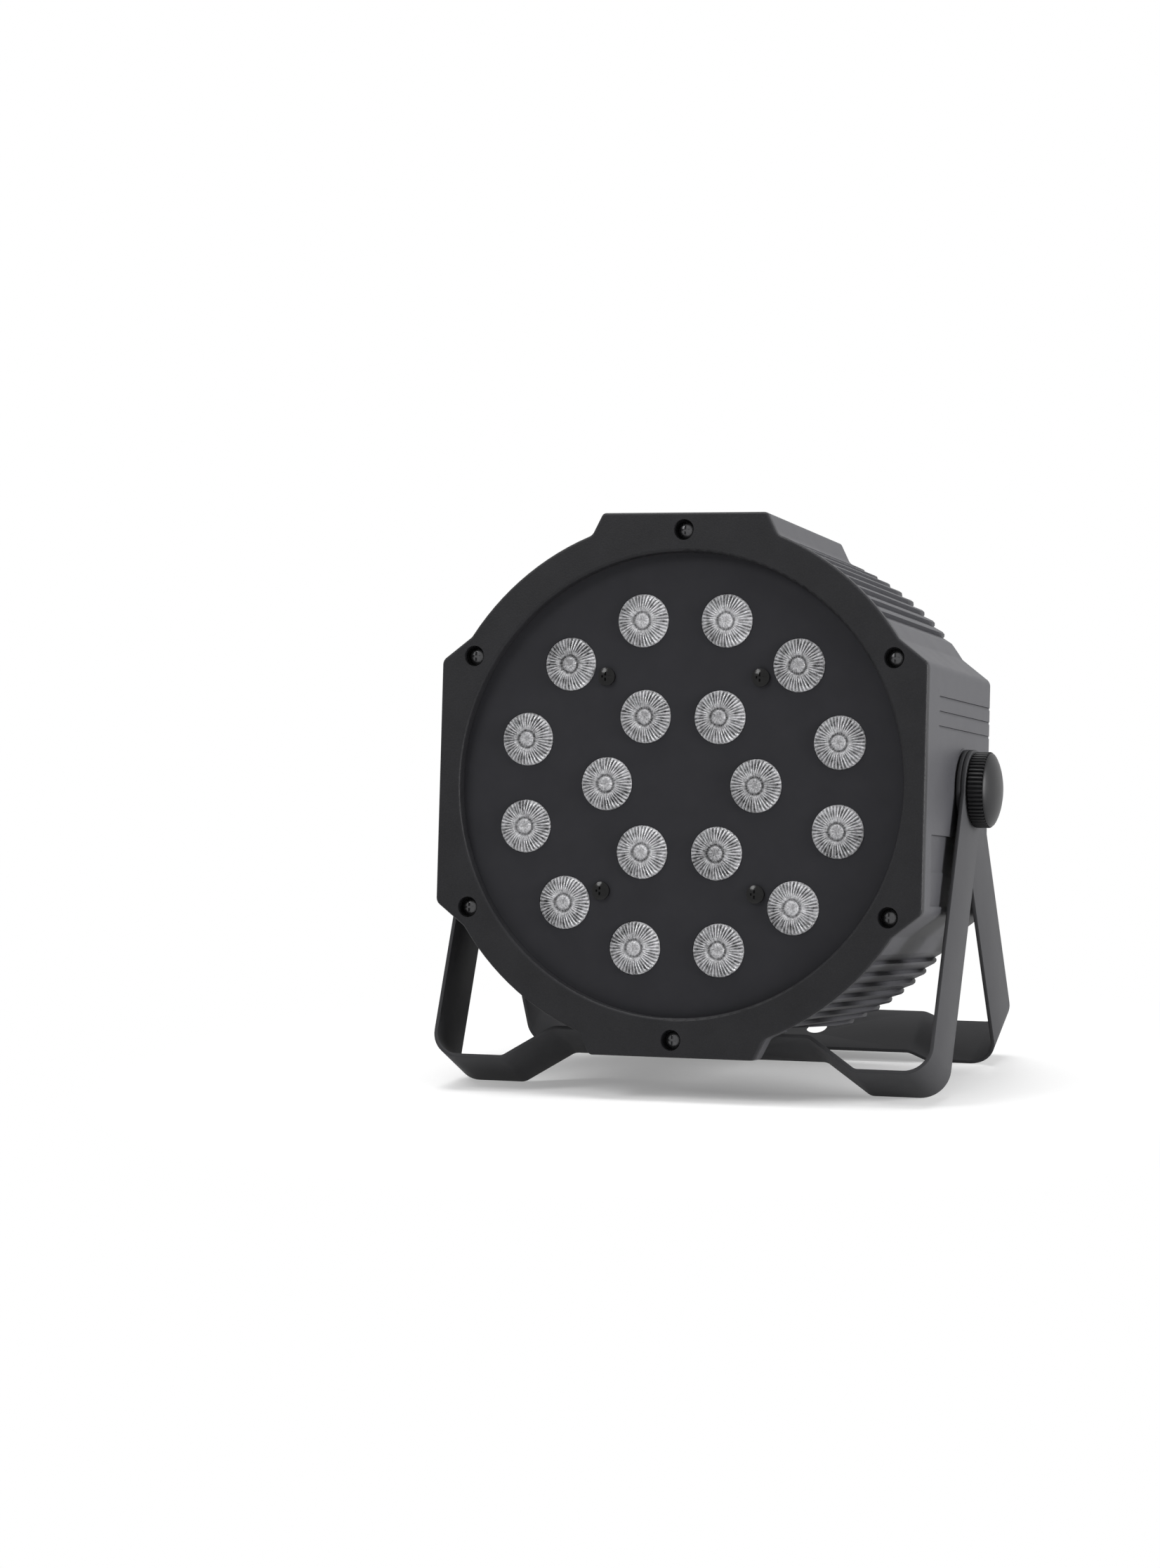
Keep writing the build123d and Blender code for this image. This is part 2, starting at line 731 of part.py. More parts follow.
# Clamping knobs with their studs
for side, hand in ((-1, "left"), (1, "right")):
    with BuildPart() as knob:
        with BuildSketch(outward(side, knob_face)):
            Circle(knob_radius)
            with PolarLocations(knob_radius, ridge_count):
                Circle(ridge_radius)
        extrude(amount=knob_rim)
        cap = outward(side, knob_face + knob_rim)
        with BuildSketch(lengthwise(cap)):
            with BuildLine():
                dome = TangentArc((0, knob_dome), (knob_radius - knob_dome_edge, 0), tangent=(1, 0))
                Polyline(dome @ 1, (0, 0), dome @ 0)
            make_face()
        revolve(axis=Axis(cap.origin, cap.z_dir))
        with BuildSketch(outward(side, knob_face - overrun)):
            Circle(stud_radius + thread_gap)
        extrude(amount=knob_bore_depth + overrun, mode=Mode.SUBTRACT)
    knob.part.label = f"{hand}_knob"
    export_step(knob.part, f"parts/{hand}_knob.step")

    with BuildPart() as stud:
        with BuildSketch(outward(side, knob_face - stud_length)):
            Circle(stud_radius)
        extrude(amount=stud_length + knob_bore_depth)
    stud.part.label = f"{hand}_stud"
    export_step(stud.part, f"parts/{hand}_stud.step")

# Threaded inserts in the shell, and the washers that the brackets rub on
with BuildPart() as inserts:
    for side in (-1, 1):
        with BuildSketch(outward(side, pad_face - insert_length)):
            Circle(insert_radius)
            Circle(stud_radius + shaft_gap, mode=Mode.SUBTRACT)
        extrude(amount=insert_length)
inserts.part.label = "inserts"
export_step(inserts.part, "parts/inserts.step")

with BuildPart() as washers:
    for side in (-1, 1):
        with BuildSketch(outward(side, pad_face)):
            Circle(washer_radius)
            Circle(stud_radius + running_gap, mode=Mode.SUBTRACT)
        extrude(amount=washer_thick)
washers.part.label = "washers"
export_step(washers.part, "parts/washers.step")

# Boards
with BuildPart() as power_board:
    with BuildSketch(at_depth(power_back)):
        with Locations((0, power_z)):
            Rectangle(power_width, power_height)
        with Locations(*power_screw_places):
            Circle(shank_radius + seat_gap, mode=Mode.SUBTRACT)
    extrude(amount=board_thick)
power_board.part.label = "power_board"
export_step(power_board.part, "parts/power_board.step")

with BuildPart() as control_board:
    with BuildSketch(at_depth(control_back)):
        with Locations((0, control_z)):
            Rectangle(control_width, control_height)
        with Locations(*control_screw_places):
            Circle(shank_radius + seat_gap, mode=Mode.SUBTRACT)
    extrude(amount=board_thick)
control_board.part.label = "control_board"
export_step(control_board.part, "parts/control_board.step")

# Transformer: core between two coil faces, on the back of the power board
with BuildPart() as transformer:
    with BuildSketch(at_depth(power_back + transformer_depth)):
        with Locations((transformer_x, transformer_z)):
            Rectangle(transformer_width - 2 * transformer_lid, transformer_height)
    extrude(amount=transformer_depth)
    with BuildSketch(at_depth(power_back + transformer_depth - transformer_lid)):
        with Locations((transformer_x, transformer_z)):
            Rectangle(transformer_width, transformer_height - 2 * transformer_lid)
    extrude(amount=transformer_depth - 2 * transformer_lid)
transformer.part.label = "transformer"
export_step(transformer.part, "parts/transformer.step")

with BuildPart() as capacitors:
    with BuildSketch(at_depth(power_back + capacitor_depth)):
        with Locations((capacitor_x, capacitor_z), (capacitor_x + capacitor_pitch, capacitor_z)):
            Circle(capacitor_radius)
    extrude(amount=capacitor_depth)
    chamfer(capacitors.faces().filter_by(head_axis).sort_by(head_axis)[:2].edges(), capacitor_edge)
capacitors.part.label = "capacitors"
export_step(capacitors.part, "parts/capacitors.step")

# Display behind its window in the back wall
with BuildPart() as display_window:
    with BuildSketch(at_depth(shell_back - display_recess)):
        with Locations((0, display_z)):
            Rectangle(display_width, display_height)
    extrude(amount=wall - display_recess)
    with BuildSketch(at_depth(back_inner)):
        with Locations((0, display_z)):
            Rectangle(display_width + 2 * display_lip, display_height + 2 * display_lip)
    extrude(amount=display_lip_thick)
display_window.part.label = "display_window"
export_step(display_window.part, "parts/display_window.step")

with BuildPart() as display_unit:
    with BuildSketch(at_depth(back_inner - display_lip_thick)):
        with Locations((0, display_z)):
            Rectangle(display_width, display_height)
    extrude(amount=control_space - display_lip_thick)
display_unit.part.label = "display_unit"
export_step(display_unit.part, "parts/display_unit.step")

# Buttons: the flange stops each one behind the wall, the stem reaches for its switch
switch_top = control_back + switch_height
flange_back = back_inner - running_gap
for name, place in zip(button_names, button_places):
    with BuildPart() as button:
        with BuildSketch(spot(shell_back + button_proud, place)):
            Circle(button_radius)
        extrude(amount=shell_back + button_proud - flange_back)
        with BuildSketch(spot(flange_back, place)):
            Circle(button_radius + button_flange)
        extrude(amount=button_flange_thick)
        with BuildSketch(spot(flange_back - button_flange_thick, place)):
            Circle(button_stem_radius)
        extrude(amount=flange_back - button_flange_thick - switch_top - button_travel - running_gap)
    button.part.label = name
    export_step(button.part, f"parts/{name}.step")

with BuildPart() as button_switches:
    with BuildSketch(at_depth(switch_top)):
        with Locations(*button_places):
            Rectangle(switch_width, switch_width)
    extrude(amount=switch_height)
button_switches.part.label = "button_switches"
export_step(button_switches.part, "parts/button_switches.step")

# Fan frame with its bearing post on three struts, and the rotor on its shaft
seat_front = back_inner - fan_seat_thick
with BuildPart() as fan_frame:
    with BuildSketch(at_depth(back_inner)) as frame:
        Rectangle(fan_size, fan_size)
        fillet(frame.vertices(), fan_corner)
        Circle(fan_bore_radius, mode=Mode.SUBTRACT)
        with Locations(*fan_screw_places):
            Circle(shank_radius + thread_gap, mode=Mode.SUBTRACT)
    extrude(amount=fan_thick)
    with BuildSketch(at_depth(back_inner)):
        Circle(hub_radius)
        with PolarLocations(0, fan_strut_count, start_angle=90):
            Rectangle(fan_bore_radius + overrun, fan_strut, align=(Align.MIN, Align.CENTER))
    extrude(amount=fan_seat_thick)
    with BuildSketch(at_depth(seat_front)):
        Circle(fan_post_radius)
    extrude(amount=fan_post_length)
    with BuildSketch(at_depth(back_inner + overrun)):
        Circle(fan_shaft_radius + shaft_gap)
    extrude(amount=fan_thick, mode=Mode.SUBTRACT)
fan_frame.part.label = "fan_frame"
export_step(fan_frame.part, "parts/fan_frame.step")

with BuildPart() as fan_rotor:
    hub_top = fan_front + hub_front
    hub_end = seat_front - running_gap
    with BuildSketch(at_depth(hub_end)):
        Circle(hub_radius)
    extrude(amount=hub_end - hub_top)
    with BuildSketch(at_depth(hub_end + overrun)):
        Circle(hub_radius - hub_wall)
    extrude(amount=hub_end + overrun - hub_top - hub_wall, mode=Mode.SUBTRACT)
    with BuildSketch(at_depth(back_inner - running_gap)):
        Circle(fan_shaft_radius)
    extrude(amount=back_inner - running_gap - hub_top - hub_wall)
    blade_centre = head.from_local_coords(Vector(0, 0, -(hub_top + hub_end) / 2))
    for i in range(blade_count):
        x, z = polar(1, 360 / blade_count * i)
        radial = head.x_dir * x + head.y_dir * z
        across = head.z_dir * cos(radians(blade_tilt)) + radial.cross(head.z_dir) * sin(radians(blade_tilt))
        root = Plane(origin=blade_centre + radial * (hub_radius - hub_wall / 2),
                     x_dir=across, z_dir=radial)
        with BuildSketch(root):
            Rectangle(blade_thick, blade_chord)
        extrude(amount=blade_tip - hub_radius + hub_wall / 2)
fan_rotor.part.label = "fan_rotor"
export_step(fan_rotor.part, "parts/fan_rotor.step")

# Power inlet with the fuse drawer below its socket
flange_depth = shell_back + inlet_flange_thick
with BuildPart() as power_inlet:
    with BuildSketch(at_depth(flange_depth)) as flange:
        with Locations((0, inlet_middle)):
            Rectangle(inlet_flange_width, inlet_top - inlet_bottom + 2 * inlet_lip)
        chamfer(flange.vertices(), inlet_chamfer)
        with Locations((-inlet_screw_x, inlet_middle), (inlet_screw_x, inlet_middle)):
            Circle(shank_radius + seat_gap, mode=Mode.SUBTRACT)
    extrude(amount=inlet_flange_thick)
    with BuildSketch(at_depth(shell_back)):
        with Locations((0, inlet_middle)):
            Rectangle(inlet_width + 2 * inlet_wall, inlet_top - inlet_bottom)
    extrude(amount=inlet_depth)
    with BuildSketch(at_depth(flange_depth + overrun)) as socket:
        with Locations((0, inlet_z + inlet_rise)):
            Rectangle(inlet_width, inlet_height)
        chamfer(socket.vertices().group_by(Axis.Y)[-1], inlet_chamfer)
    extrude(amount=inlet_hole_depth + overrun, mode=Mode.SUBTRACT)
    pin_z = inlet_z + inlet_rise
    with BuildSketch(at_depth(flange_depth - inlet_hole_depth + pin_reach)):
        with Locations((-pin_x, pin_z - pin_drop), (pin_x, pin_z - pin_drop), (0, pin_z + pin_drop)):
            Rectangle(pin_thick, pin_width)
    extrude(amount=pin_reach)
    with BuildSketch(at_depth(flange_depth + overrun)):
        with Locations((0, inlet_z - fuse_drop)):
            Rectangle(fuse_width + 2 * running_gap, fuse_height + 2 * running_gap)
    extrude(amount=fuse_depth + running_gap + overrun, mode=Mode.SUBTRACT)
power_inlet.part.label = "power_inlet"
export_step(power_inlet.part, "parts/power_inlet.step")

with BuildPart() as fuse_drawer:
    with BuildSketch(at_depth(flange_depth)):
        with Locations((0, inlet_z - fuse_drop)):
            Rectangle(fuse_width, fuse_height)
    extrude(amount=fuse_depth)
    with BuildSketch(at_depth(flange_depth + fuse_grip)):
        with Locations((0, inlet_z - fuse_drop)):
            Rectangle(fuse_grip_width, fuse_grip_height)
    extrude(amount=fuse_grip)
fuse_drawer.part.label = "fuse_drawer"
export_step(fuse_drawer.part, "parts/fuse_drawer.step")

# Signal sockets: each a flanged barrel, with pins in the inlet and a core with holes in the outlet
signal_back = shell_back + signal_flange_thick
core_length = signal_bore_depth - signal_flange_thick
for name, side in (("signal_in_socket", -1), ("signal_out_socket", 1)):
    with BuildPart() as signal:
        with BuildSketch(spot(signal_back, (side * signal_x, signal_z))) as plate:
            Rectangle(signal_flange_width, signal_flange_height)
            fillet(plate.vertices(), signal_corner)
            with Locations((-signal_screw_x, signal_screw_z), (signal_screw_x, -signal_screw_z)):
                Circle(shank_radius + seat_gap, mode=Mode.SUBTRACT)
        extrude(amount=signal_flange_thick)
        with BuildSketch(spot(shell_back, (side * signal_x, signal_z))):
            Circle(signal_radius)
        extrude(amount=signal_depth)
        with BuildSketch(spot(signal_back + overrun, (side * signal_x, signal_z))):
            Circle(signal_bore_radius)
        extrude(amount=signal_bore_depth + overrun, mode=Mode.SUBTRACT)
    signal.part.label = name
    export_step(signal.part, f"parts/{name}.step")

with BuildPart() as signal_in_pins:
    with BuildSketch(spot(shell_back, (-signal_x, signal_z))):
        with PolarLocations(signal_pin_circle, signal_pin_count, start_angle=90):
            Circle(signal_pin_radius)
    extrude(amount=core_length)
signal_in_pins.part.label = "signal_in_pins"
export_step(signal_in_pins.part, "parts/signal_in_pins.step")

with BuildPart() as signal_out_core:
    with BuildSketch(spot(shell_back, (signal_x, signal_z))):
        Circle(signal_core_radius)
        with PolarLocations(signal_pin_circle, signal_pin_count, start_angle=90):
            Circle(signal_pin_radius, mode=Mode.SUBTRACT)
    extrude(amount=core_length)
signal_out_core.part.label = "signal_out_core"
export_step(signal_out_core.part, "parts/signal_out_core.step")

# Screws
with BuildPart() as bezel_screws:
    for place in bezel_screw_places:
        add_screw(spot(-bezel_recess_floor, place), bezel_head_radius, bezel_head_height,
                  bezel_screw_length)
bezel_screws.part.label = "bezel_screws"
export_step(bezel_screws.part, "parts/bezel_screws.step")

with BuildPart() as panel_screws:
    for place in panel_screw_places:
        add_screw(spot(0, place), panel_head_radius, panel_head_height, panel_screw_length)
panel_screws.part.label = "panel_screws"
export_step(panel_screws.part, "parts/panel_screws.step")

with BuildPart() as heat_sink_screws:
    for place in panel_screw_places:
        add_screw(back_spot(sink_back, place), small_head_radius, small_head_height, sink_screw_length)
heat_sink_screws.part.label = "heat_sink_screws"
export_step(heat_sink_screws.part, "parts/heat_sink_screws.step")

with BuildPart() as board_screws:
    for place in power_screw_places:
        add_screw(spot(power_front, place), small_head_radius, small_head_height, board_screw_length)
    for place in control_screw_places:
        add_screw(spot(control_front, place), small_head_radius, small_head_height, board_screw_length)
board_screws.part.label = "board_screws"
export_step(board_screws.part, "parts/board_screws.step")

with BuildPart() as fan_screws:
    for place in fan_screw_places:
        add_screw(back_spot(shell_back, place), small_head_radius, small_head_height, fan_screw_length)
fan_screws.part.label = "fan_screws"
export_step(fan_screws.part, "parts/fan_screws.step")

with BuildPart() as socket_screws:
    for side in (1, -1):
        add_screw(back_spot(flange_depth, (side * inlet_screw_x, inlet_middle)), small_head_radius,
                  small_head_height, socket_screw_length)
        for end in (1, -1):
            place = (side * signal_x - end * signal_screw_x, signal_z + end * signal_screw_z)
            add_screw(back_spot(signal_back, place), small_head_radius, small_head_height,
                      socket_screw_length)
socket_screws.part.label = "socket_screws"
export_step(socket_screws.part, "parts/socket_screws.step")
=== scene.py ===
import json
import math

import bmesh
import bpy
from mathutils import Matrix, Vector


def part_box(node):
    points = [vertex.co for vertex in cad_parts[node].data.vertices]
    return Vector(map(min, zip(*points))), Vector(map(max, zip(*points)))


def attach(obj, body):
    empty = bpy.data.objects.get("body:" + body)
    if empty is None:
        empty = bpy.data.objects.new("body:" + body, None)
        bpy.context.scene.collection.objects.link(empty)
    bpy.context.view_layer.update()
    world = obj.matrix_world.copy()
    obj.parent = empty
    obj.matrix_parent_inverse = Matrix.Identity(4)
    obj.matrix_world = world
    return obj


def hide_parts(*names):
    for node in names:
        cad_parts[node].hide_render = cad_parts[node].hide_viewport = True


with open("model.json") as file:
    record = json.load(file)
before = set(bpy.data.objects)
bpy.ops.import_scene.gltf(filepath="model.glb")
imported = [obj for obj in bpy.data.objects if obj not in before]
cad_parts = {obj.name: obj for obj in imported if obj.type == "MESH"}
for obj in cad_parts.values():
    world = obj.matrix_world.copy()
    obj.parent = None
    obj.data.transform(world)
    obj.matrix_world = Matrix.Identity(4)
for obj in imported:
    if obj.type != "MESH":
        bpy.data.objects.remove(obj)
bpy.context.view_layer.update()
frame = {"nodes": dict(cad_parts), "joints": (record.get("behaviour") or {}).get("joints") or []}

# All lengths are in metres. The head's own frame lies on the face of the LED panel: x to the right
# seen from the front, y up along the panel and z forwards. It is worked out from the frame.
mm = 0.001
right = Vector((1, 0, 0))
joints = {joint["name"]: joint for joint in frame["joints"]}
forward = -Vector(joints["fan_spin"]["axis"])
up = forward.cross(right)
panel_thick = 1.5 * mm


def middle(node):
    """Centre of a node's box."""
    low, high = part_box(node)
    return (low + high) / 2


def plane(origin, x_axis, y_axis):
    """Matrix that takes local coordinates to a plane's place."""
    z_axis = x_axis.cross(y_axis)
    return Matrix.Translation(origin) @ Matrix((x_axis, y_axis, z_axis)).transposed().to_4x4()


head = plane(middle("led_panel") + forward * panel_thick / 2, right, up)
into_head = head.inverted()


def head_points(node):
    """A node's points in the head's own frame."""
    return [into_head @ vert.co for vert in frame["nodes"][node].data.vertices]


# The points of a turned piece carry its relief, as a share of the rib depth, and their bearing round
# its axis
rib_depth = 0.45 * mm
bearing_rate = 70.0          # how fast the bearing changes outwards, against round the axis
lens_groove = 3.3 * mm       # the groove round each lens's bead, darkened there with painted shade
groove_half = 0.55 * mm
ray_count = 7.5              # noise cells of the lens's painted bright and dark rays in one unit of bearing
facet_depth = 0.25 * mm


# Node trees

class Link:
    """A socket of a node tree. Sums and products of links add their Math nodes to the tree."""

    def __init__(self, tree, socket):
        self.tree = tree
        self.socket = socket

    def math(self, operation, first, second):
        return self.tree.node("ShaderNodeMath", {"operation": operation}, {0: first, 1: second})

    def __add__(self, other):
        return self.math("ADD", self, other)

    __radd__ = __add__

    def __sub__(self, other):
        return self.math("SUBTRACT", self, other)

    def __rsub__(self, other):
        return self.math("SUBTRACT", other, self)

    def __mul__(self, other):
        return self.math("MULTIPLY", self, other)

    __rmul__ = __mul__

    def __truediv__(self, other):
        return self.math("DIVIDE", self, other)

    def __rtruediv__(self, other):
        return self.math("DIVIDE", other, self)


class Tree:
    """A shader or geometry node tree that is being written."""

    def __init__(self, tree):
        self.tree = tree

    def node(self, kind, settings=None, inputs=None, output=0):
        """Adds a node: its settings first, then the values or links of its sockets."""
        node = self.tree.nodes.new(kind)
        for name, value in (settings or {}).items():
            setattr(node, name, value)
        for key, value in (inputs or {}).items():
            if isinstance(value, Link):
                self.tree.links.new(value.socket, node.inputs[key])
            else:
                node.inputs[key].default_value = value
        return Link(self, node.outputs[output] if len(node.outputs) else None)


def grey(value, blue=0.0):
    """A neutral colour, a little bluer by a share of itself."""
    return (value, value, value * (1 + blue), 1)


class Finish(Tree):
    """A procedural material for one kind of surface."""

    def __init__(self, name):
        self.material = bpy.data.materials.new(name)
        self.material.use_nodes = True
        super().__init__(self.material.node_tree)
        self.tree.nodes.clear()
        self.place = self.node("ShaderNodeTexCoord", output="Object")

    def noise(self, size, detail=2.0, stretch=(1, 1, 1)):
        """Noise whose features are about as large as the size."""
        place = self.node("ShaderNodeMapping", None, {"Vector": self.place, "Scale": stretch})
        return self.node("ShaderNodeTexNoise", None,
                         {"Vector": place, "Scale": 1 / size, "Detail": detail}, "Fac")

    def blend(self, share, first, second):
        """Colour between two colours."""
        return self.node("ShaderNodeMix", {"data_type": "RGBA"}, {0: share, 6: first, 7: second}, 2)

    def bump(self, height, depth):
        """Normal of a surface whose relief is as deep as the depth."""
        return self.node("ShaderNodeBump", None, {"Height": height, "Distance": depth})

    def surface(self, **sockets):
        """Ends the material in one Principled shader; its sockets are named with underscores."""
        named = {name.replace("_", " ").title().replace("Ior", "IOR"): value
                 for name, value in sockets.items()}
        shader = self.node("ShaderNodeBsdfPrincipled", None, named)
        self.node("ShaderNodeOutputMaterial", None, {"Surface": shader})
        return self.material


def moulded(name, colour, light_colour, roughness, grain, grain_depth, gloss=0.5, mottle=14 * mm):
    """Moulded plastic with a fine spark-eroded grain and a faint mottle."""
    finish = Finish(name)
    fine = finish.noise(grain, 3)
    cloud = finish.noise(mottle, 4)
    colours = finish.blend(fine * 0.6 + cloud * 0.5 - 0.05, colour, light_colour)
    return finish.surface(base_color=colours, roughness=roughness + 0.12 * (cloud - 0.5),
                          specular_ior_level=gloss, normal=finish.bump(fine, grain_depth))


def coated(name, colour, light_colour, roughness, peel, peel_depth, gloss=0.5):
    """Metal under powder coat, with a soft orange peel and fine specks."""
    finish = Finish(name)
    orange_peel = finish.noise(peel, 2)
    specks = finish.noise(peel / 4, 2)
    cloud = finish.noise(peel * 30, 3)
    colours = finish.blend(specks * 0.5 + cloud * 0.7 - 0.1, colour, light_colour)
    return finish.surface(base_color=colours, roughness=roughness + 0.1 * (specks - 0.5),
                          specular_ior_level=gloss, normal=finish.bump(orange_peel, peel_depth))


def metal(name, colour, dark_colour, roughness, grain, stretch=(1, 1, 1), mark_depth=0.02 * mm):
    """Bare or plated metal with tool marks and slight stains."""
    finish = Finish(name)
    marks = finish.noise(grain, 4, stretch)
    stain = finish.noise(grain * 12, 3)
    colours = finish.blend(marks * 0.5 + stain * 0.4, colour, dark_colour)
    return finish.surface(base_color=colours, metallic=1.0, roughness=roughness + 0.2 * (marks - 0.5),
                          normal=finish.bump(marks, mark_depth))


def board(name, colour, mask_colour, track, pad_colour, gap=0.42, pad=0.09, track_depth=0.03 * mm):
    """Circuit board: solder mask over tracks, with tinned pads. Its gaps and pads are shares of the
    distance between tracks."""
    finish = Finish(name)
    tracks = finish.node("ShaderNodeTexVoronoi", {"distance": "MANHATTAN"},
                         {"Vector": finish.place, "Scale": 1 / track}, "Distance")
    lines = finish.node("ShaderNodeMath", {"operation": "GREATER_THAN"}, {0: tracks, 1: gap})
    pads = finish.node("ShaderNodeMath", {"operation": "LESS_THAN"}, {0: tracks, 1: pad})
    under = finish.blend(lines, colour, mask_colour)
    return finish.surface(base_color=finish.blend(pads, under, pad_colour), metallic=pads * 0.9,
                          roughness=0.35 + 0.15 * lines, normal=finish.bump(lines - pads, track_depth))


def painted_gleam_lens(name, shade, painted_highlight_colour, painted_glint_size, cloud_size):
    """Clear lens drawn opaque, its colour painted with light: painted highlights on raised ribs, painted
    reflections in bright and dark rays, painted glint spots and painted shade in the groove round the bead.
    It reads how high each point stands in the ribs, and its bearing round the lens's axis."""
    finish = Finish(name)
    relief = finish.node("ShaderNodeAttribute", {"attribute_name": "relief"}, None, "Fac")
    bearing = finish.node("ShaderNodeAttribute", {"attribute_name": "bearing"}, None, "Vector")
    rays = finish.node("ShaderNodeTexNoise", None, {"Vector": bearing, "Scale": ray_count, "Detail": 2.0},
                       "Fac")
    glints = finish.noise(painted_glint_size, 2)
    cloud = finish.noise(cloud_size, 1)
    outwards = finish.node("ShaderNodeSeparateXYZ", None, {0: bearing}, "Z") / bearing_rate
    off_groove = finish.node("ShaderNodeMath", {"operation": "ABSOLUTE"}, {0: outwards - lens_groove})
    groove = finish.node("ShaderNodeMath", {"operation": "MAXIMUM"},
                         {0: 1 - off_groove / groove_half, 1: 0.0})
    # Painted light: the colour is brighter on raised ribs, along the painted reflections of the rays and at
    # painted glint spots, and darker with painted shade in the groove round the bead.
    light = (0.50 + 0.22 * relief + 1.3 * (rays - 0.5) + 0.9 * (glints - 0.5) + 0.6 * (cloud - 0.5)
             - 0.35 * groove)
    level = finish.node("ShaderNodeClamp", None, {"Value": light})
    return finish.surface(base_color=finish.blend(level, shade, painted_highlight_colour), ior=1.49, roughness=0.14,
                          normal=finish.bump(rays * 0.6 + glints * 0.4, facet_depth))


def clear_plastic(name, colour, deep_colour, roughness, see_through, flow_size=0.7 * mm,
                  cloud_size=6 * mm, flow_depth=0.01 * mm):
    """Clear moulded plastic, slightly cloudy, with flow lines."""
    finish = Finish(name)
    flow = finish.noise(flow_size, 3)
    cloud = finish.noise(cloud_size, 2)
    return finish.surface(base_color=finish.blend(cloud, colour, deep_colour), ior=1.49,
                          roughness=roughness + 0.08 * flow, transmission_weight=see_through,
                          normal=finish.bump(flow, flow_depth))


# Finishes of the lamp
bezel_finish = moulded("bezel_plastic", grey(0.006, 0.12), grey(0.022, 0.10), roughness=0.46,
                       grain=0.55 * mm, grain_depth=0.12 * mm, gloss=0.16)
shell_finish = moulded("shell_plastic", grey(0.028, 0.12), grey(0.048, 0.10), roughness=0.50,
                       grain=0.45 * mm, grain_depth=0.06 * mm, gloss=0.20)
knob_finish = moulded("knob_plastic", grey(0.004, 0.10), grey(0.011, 0.10), roughness=0.40,
                      grain=0.5 * mm, grain_depth=0.03 * mm, gloss=0.18)
socket_finish = moulded("socket_plastic", grey(0.012), grey(0.024), roughness=0.42,
                        grain=0.6 * mm, grain_depth=0.03 * mm, gloss=0.35)
fan_finish = moulded("fan_plastic", grey(0.015), grey(0.028), roughness=0.36,
                     grain=0.8 * mm, grain_depth=0.02 * mm, gloss=0.35)
module_finish = moulded("module_plastic", grey(0.014), grey(0.022), roughness=0.30,
                        grain=0.8 * mm, grain_depth=0.01 * mm)
key_finish = moulded("key_rubber", grey(0.030), grey(0.050), roughness=0.62,
                     grain=0.3 * mm, grain_depth=0.04 * mm, gloss=0.25)
washer_finish = moulded("washer_rubber", grey(0.014), grey(0.026), roughness=0.78,
                        grain=0.4 * mm, grain_depth=0.05 * mm, gloss=0.2)
white_finish = moulded("white_plastic", grey(0.74), grey(0.84), roughness=0.35,
                       grain=0.6 * mm, grain_depth=0.01 * mm)
core_finish = moulded("transformer_core", (0.16, 0.12, 0.05, 1), (0.30, 0.25, 0.14, 1), roughness=0.4,
                      grain=1.2 * mm, grain_depth=0.04 * mm)
can_finish = moulded("capacitor_sleeve", (0.02, 0.03, 0.09, 1), (0.05, 0.07, 0.16, 1), roughness=0.25,
                     grain=1.5 * mm, grain_depth=0.01 * mm)
phosphor = moulded("phosphor", (0.80, 0.62, 0.12, 1), (0.90, 0.75, 0.28, 1), roughness=0.5,
                   grain=0.2 * mm, grain_depth=0.01 * mm)
numeral_finish = moulded("numeral_resin", (0.30, 0.02, 0.015, 1), (0.42, 0.04, 0.03, 1), roughness=0.3,
                         grain=0.3 * mm, grain_depth=0.01 * mm)
panel_finish = coated("panel_coat", grey(0.020, 0.14), grey(0.028, 0.12), roughness=0.66,
                      peel=0.35 * mm, peel_depth=0.012 * mm, gloss=0.08)
bracket_finish = coated("bracket_coat", grey(0.030, 0.07), grey(0.048, 0.05), roughness=0.60,
                        peel=0.9 * mm, peel_depth=0.03 * mm, gloss=0.08)
black_steel = metal("black_steel", grey(0.11, 0.04), grey(0.04), roughness=0.28, grain=0.4 * mm)
glossy_steel = metal("glossy_black_steel", grey(0.012), grey(0.035), roughness=0.16, grain=0.4 * mm)
zinc_steel = metal("zinc_steel", grey(0.62, 0.03), grey(0.40), roughness=0.32, grain=0.5 * mm)
brass_finish = metal("brass", (0.72, 0.52, 0.22, 1), (0.50, 0.34, 0.13, 1), roughness=0.28,
                     grain=0.4 * mm)
aluminium = metal("extruded_aluminium", grey(0.72, 0.02), grey(0.52), roughness=0.36,
                  grain=0.5 * mm, stretch=(1, 1, 0.04))
pin_finish = metal("tinned_pins", grey(0.70, 0.02), grey(0.45), roughness=0.24, grain=0.3 * mm)
white_board = board("led_board", grey(0.62), grey(0.74), track=5 * mm, pad_colour=grey(0.55))
green_board = board("circuit_board", (0.010, 0.075, 0.028, 1), (0.018, 0.120, 0.045, 1),
                    track=2.6 * mm, pad_colour=grey(0.6))
# The lens's two colours are painted shade and painted highlight; between them its colour carries painted
# reflections and glint spots.
lens_painted_gleam_finish = painted_gleam_lens("lens_plastic_painted_gleam", grey(0.02, 0.04), grey(0.64, 0.03), painted_glint_size=0.6 * mm,
                          cloud_size=16 * mm)
window_finish = clear_plastic("window_plastic", grey(0.10), grey(0.06), roughness=0.08,
                              see_through=0.7)

